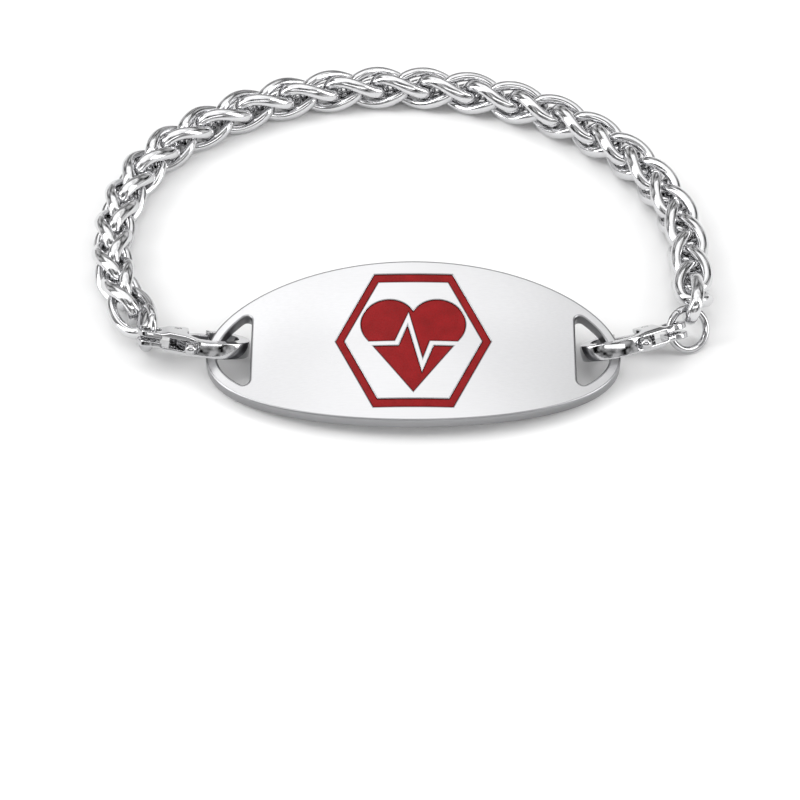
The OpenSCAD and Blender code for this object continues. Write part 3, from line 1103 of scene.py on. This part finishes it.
    def pin(self) -> list[Patch]:
        """The pivot pin: a turned rod whose two heads are slightly domed and rounded at the rim.

        The profile's radius and height go round the pin's axis as (r cos t, r sin t, z).

        Returns:
            One grid, closed at both ends.
        """
        rim = round_edge(self.pin_round, self.pin_rim_steps)
        dome = np.linspace(self.pin_middle, 1, self.pin_dome_rows)
        radius = np.concatenate([(self.pin_radius - self.pin_round) * dome, self.pin_radius - rim[:, 0]])
        height = np.concatenate([self.pin_dome * (1 - dome**2), -rim[:, 1]])
        half = self.pin_length / 2 - self.pin_dome
        z = np.concatenate([half + height, -half - height[::-1]])
        r = np.concatenate([radius, radius[::-1]])[:, None]
        angle = np.linspace(0, 2 * np.pi, self.pin_columns, endpoint=False)
        x, y = self.pivot[0] + r * np.cos(angle), self.pivot[1] + r * np.sin(angle)
        return [Patch(self.out(np.stack([x, y, np.broadcast_to(z[:, None], x.shape)], -1)), caps=(0, -1))]

    def build(self, polished: Finish) -> None:
        """Makes the clasp's body, lever, pin and jump ring.

        Args:
            polished: Their finish.
        """
        hand = self.side.value
        body = finished(f"{hand}_clasp", self.softened(f"clasp_body_{hand}"), [polished], ROOT_BODY)
        lever_mesh = self.softened(f"clasp_lever_{hand}")
        lever = finished(f"{hand}_thumb_lever", lever_mesh, [polished], f"{hand}_lever")
        pin = mesh_object(f"{hand}_pin", self.pin(), [polished], ROOT_BODY)
        ring = mesh_object(f"{hand}_ring", self.ring(), [polished], ROOT_BODY)
        nodes = {body: "clasp_body", lever: "clasp_lever", pin: "pivot_pin", ring: "jump_ring"}
        for piece, node in nodes.items():
            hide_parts(f"{node}_{hand}")
            log.info("%s: %d faces", piece.name, len(piece.data.polygons))


@dataclass
class WheatChain:
    """The woven chain: closed links of flattened wire, of two hands that alternate along a smooth route."""

    links: int = 44
    stretch: float = 0.625
    half_width: float = 2.25
    bow_power: float = 0.9
    wire_half_thick: float = 0.66
    wire_half_wide: float = 0.82
    wire_power: float = 2.2
    twist: float = 45.0
    end_turn: float = 8.0
    heading_reach: float = 0.8
    nudge: float = 0.5
    steps: int = 112
    round_count: int = 120
    wire_count: int = 24
    start: Triple = (-33.3205, 6.13943, 2.55176)
    end: Triple = (34.3836, 6.72105, 5.17538)
    between: tuple = (
        (-36.28, 13.32, 2.65), (-38.3, 20.5, 2.6), (-38.0, 31.0, 2.6), (-34.4, 41.4, 2.6),
        (-26.8, 49.6, 2.6), (-16.0, 55.5, 2.6), (-3.0, 57.6, 2.6), (9.6, 55.7, 2.6),
        (21.0, 49.6, 2.6), (30.0, 39.5, 2.6), (34.4, 27.8, 2.65), (35.01, 15.9, 2.96),
    )
    curve: Array = field(init=False)
    distance: Array = field(init=False)

    def __post_init__(self) -> None:
        """Works out the route: a smooth curve through its points, read by the distance along it.

        Between b and c, with a before and d after them, it is half of
        2b + (c - a) t + (2a - 5b + 4c - d) t^2 + (3b - a - 3c + d) t^3, with t from 0 to 1.
        """
        route = np.array([self.start, *self.between, self.end])
        ends = np.concatenate([[2 * route[0] - route[1]], route, [2 * route[-1] - route[-2]]])
        t = (np.arange(self.steps) / self.steps)[None, :, None]
        a, b, c, d = (ends[i:len(route) - 1 + i, None] for i in range(4))
        square, cube = 2 * a - 5 * b + 4 * c - d, 3 * b - a - 3 * c + d
        spans = 0.5 * (2 * b + (c - a) * t + square * t**2 + cube * t**3)
        self.curve = np.concatenate([spans.reshape(-1, 3), route[-1:]])
        self.distance = np.append(0, np.cumsum(np.linalg.norm(np.diff(self.curve, axis=0), axis=1)))

    @property
    def pitch(self) -> float:
        """The links share the route's length."""
        return float(self.distance[-1]) / ((self.links - 1) / 2 + 2 * self.stretch)

    def on_curve(self, s: Array) -> Array:
        """The route's point at a distance along it."""
        return np.stack([np.interp(s, self.distance, self.curve[:, k]) for k in range(3)], -1)

    def on_route(self, p: Array) -> Array:
        """Carries points of a straight chain to the route.

        Args:
            p: Points with x along the chain, y towards the loop's inner side and z up.

        Returns:
            The points in the plate's frame. Beyond the route's ends they go straight on.
        """
        total = self.distance[-1]
        s = np.clip(p[..., 0], self.heading_reach, total - self.heading_reach)
        ahead = unit(self.on_curve(s + self.heading_reach) - self.on_curve(s - self.heading_reach))
        inward = unit(np.cross(ahead, [0.0, 0.0, 1.0]))
        beyond = (p[..., 0] - np.clip(p[..., 0], 0, total))[..., None]
        up = np.cross(inward, ahead)
        return self.on_curve(p[..., 0]) + ahead * beyond + inward * p[..., 1:2] + up * p[..., 2:3]

    def middle(self, t: Array, mid_angle: float, turn: float) -> Array:
        """The middle of a link's wire: x = L cos t, W |sin t|^p off the axis, turned by mid + turn cos t.

        Args:
            t: How far round the link, in radians.
            mid_angle: The turn about the chain's axis at the link's middle, in radians.
            turn: How much more it is turned at the leading end, and less at the other.

        Returns:
            The points, with x from the link's own middle.
        """
        r = self.half_width * np.sign(np.sin(t)) * np.abs(np.sin(t)) ** self.bow_power
        angle = mid_angle + turn * np.cos(t)
        return np.stack([self.stretch * self.pitch * np.cos(t), r * np.cos(angle), r * np.sin(angle)], -1)

    def link(self, number: int) -> list[Patch]:
        """One link: an oval section carried round the wire's middle line, then along the route.

        A link's two ends stand at a right angle to each other, and the two hands twist opposite ways. The
        first and the last link hardly twist.

        Args:
            number: The link's number from 1 at the left clasp. Odd ones are left-handed.

        Returns:
            The link's surface.
        """
        left_hand = number % 2 == 1
        mid, turn = (self.twist, -self.twist) if left_hand else (3 * self.twist, self.twist)
        if number in (1, self.links):
            turn = math.copysign(self.end_turn, turn)
            mid = -turn if number == 1 else 2 * self.twist + turn
        mid, turn = math.radians(mid), math.radians(turn)
        t = np.linspace(0, 2 * np.pi, self.round_count, endpoint=False) + np.pi / self.round_count
        nudge = math.radians(self.nudge)
        along = unit(self.middle(t + nudge, mid, turn) - self.middle(t - nudge, mid, turn))
        angle = mid + turn * np.cos(t)
        side = np.stack([np.zeros_like(t), -np.sin(angle), np.cos(angle)], -1)
        wide = unit(side - np.sum(side * along, -1, keepdims=True) * along)
        thick = np.cross(along, wide)
        ones = np.ones_like(t)
        halves = ones * self.wire_half_thick, ones * self.wire_half_wide
        ring = superellipse(*halves, self.wire_count, self.wire_power)
        middle = self.middle(t, mid, turn)
        points = middle[:, None] + ring[..., :1] * thick[:, None] + ring[..., 1:] * wide[:, None]
        points[..., 0] += self.stretch * self.pitch + (number - 1) * self.pitch / 2
        return [Patch(self.on_route(points), close_rows=True)]

    def build(self, polished: Finish) -> None:
        """Makes every link.

        Args:
            polished: The links' finish.
        """
        for number in range(1, self.links + 1):
            piece = mesh_object(f"wheat_link_{number:02d}", self.link(number), [polished], ROOT_BODY)
            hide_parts(f"link_{number:02d}")
        log.info("wheat chain: %d links, pitch %.3f mm", self.links, self.pitch)


@dataclass(frozen=True)
class Lamp:
    """A rectangular soft lamp that looks at the bracelet.

    Attributes:
        name: Its name.
        place: Where it stands.
        size: Its width and height.
        glow: Its brightness: watts for each square metre, over pi.
    """

    name: str
    place: Triple
    size: Pair
    glow: float

    def build(self) -> None:
        """Makes the lamp."""
        light = bpy.data.lights.new(self.name, "AREA")
        light.shape = "RECTANGLE"
        light.size, light.size_y = self.size
        light.energy = self.glow * math.pi * self.size[0] * self.size[1]
        lamp = bpy.data.objects.new(self.name, light)
        lamp.location = self.place
        lamp.rotation_euler = (Vector() - Vector(self.place)).to_track_quat("-Z", "Y").to_euler()
        bpy.context.scene.collection.objects.link(lamp)


@dataclass
class Studio:
    """A white table under soft lamps in a grey room, and the camera."""

    table_size: float = 5.0
    lamps: tuple[Lamp, ...] = (
        Lamp("overhead_lamp", place=(0.0, 0.2, 1.0), size=(1.5, 1.1), glow=0.95),
        Lamp("left_lamp", place=(-0.8, -0.1, 0.5), size=(0.35, 0.9), glow=5.0),
        Lamp("right_lamp", place=(0.8, -0.2, 0.45), size=(0.3, 0.9), glow=4.5),
        Lamp("front_lamp", place=(0.0, -0.9, 0.7), size=(1.2, 0.25), glow=2.0),
    )
    room_scale: float = 3.4
    room_detail: float = 1.0
    room_range: Pair = (0.35, 0.65)
    room_shades: Pair = (0.0, 0.8)
    target: Triple = (0.00172, -0.02469, 0.0057)
    elevation: float = 41.0
    distance: float = 0.32
    focal_length: float = 119.4
    sensor_width: float = 36.0
    shift: Pair = (-0.0166, -0.0691)
    clip_start: float = 0.01

    def table(self, finish: Finish) -> None:
        """The table top, a plain sheet under the bracelet.

        Args:
            finish: Its finish.
        """
        half = self.table_size / 2
        mesh = bpy.data.meshes.new("table_top")
        corners = [(-half, -half, 0), (half, -half, 0), (half, half, 0), (-half, half, 0)]
        mesh.from_pydata(corners, [], [(0, 1, 2, 3)])
        mesh.materials.append(finish)
        top = bpy.data.objects.new("table_top", mesh)
        bpy.context.scene.collection.objects.link(top)

    def room(self) -> None:
        """A soft grey room with darker and lighter parts for the steel to mirror."""
        sheet = NodeSheet(bpy.data.worlds.new("room"))
        parts = sheet.noise(sheet.place("Generated"), self.room_scale, self.room_detail)
        shade = sheet.spread(parts, *self.room_shades, self.room_range)
        sheet.feed(sheet.tree.nodes["Background"], {"Color": shade})
        bpy.context.scene.world = sheet.owner

    def camera(self) -> None:
        """The camera, at the photograph's angle above the table."""
        data = bpy.data.cameras.new("camera")
        data.lens = self.focal_length
        data.sensor_width = self.sensor_width
        data.shift_x, data.shift_y = self.shift
        data.clip_start = self.clip_start
        camera = bpy.data.objects.new("camera", data)
        c, s = math.cos(math.radians(self.elevation)), math.sin(math.radians(self.elevation))
        away = Vector((0, -c, s)) * self.distance
        camera.location = Vector(self.target) + away
        camera.rotation_euler = (-away).to_track_quat("-Z", "Y").to_euler()
        bpy.context.scene.collection.objects.link(camera)
        bpy.context.scene.camera = camera

    def build(self) -> None:
        """Makes the table, the lamps, the room and the camera."""
        self.table(WhiteTable().build())
        for lamp in self.lamps:
            lamp.build()
        self.room()
        self.camera()
        bpy.context.scene.view_settings.view_transform = "Standard"
        log.info("studio: table, %d lamps, room and camera", len(self.lamps))


def main() -> None:
    """Builds the bracelet and its studio."""
    logging.basicConfig(level=logging.INFO, format="%(message)s")
    satin, enamel, bright = SatinSteel().build(), RedEnamel().build(), MirrorSteel().build()
    # The clasps' steel: the mirror steel darkened, painted shade for their darker reflections.
    deep = MirrorSteel("painted_shade_mirror_steel", tint=(0.50, 0.50, 0.51), roughness=(0.05, 0.11)).build()
    # The plate's rim, slot walls and recess walls: the satin steel darkened, painted shade.
    edge = SatinSteel("painted_shade_edge_steel", (0.34, 0.34, 0.35), roughness=(0.26, 0.36), anisotropy=0.0).build()
    Studio().build()
    Plate().build(satin, edge, enamel)
    WheatChain().build(bright)
    Clasp(
        Side.LEFT, eye=(-31.9705, 3.82943, 3.66176), turn=(-29.0, 9.0, 2.0), ring_hang=(108.0, 16.8),
    ).build(deep)
    Clasp(
        Side.RIGHT, eye=(31.8036, 5.68105, 2.90538), turn=(-35.7, 4.0, -14.9), ring_hang=(166.0, -6.0),
    ).build(deep)


if __name__ == "__main__":
    main()
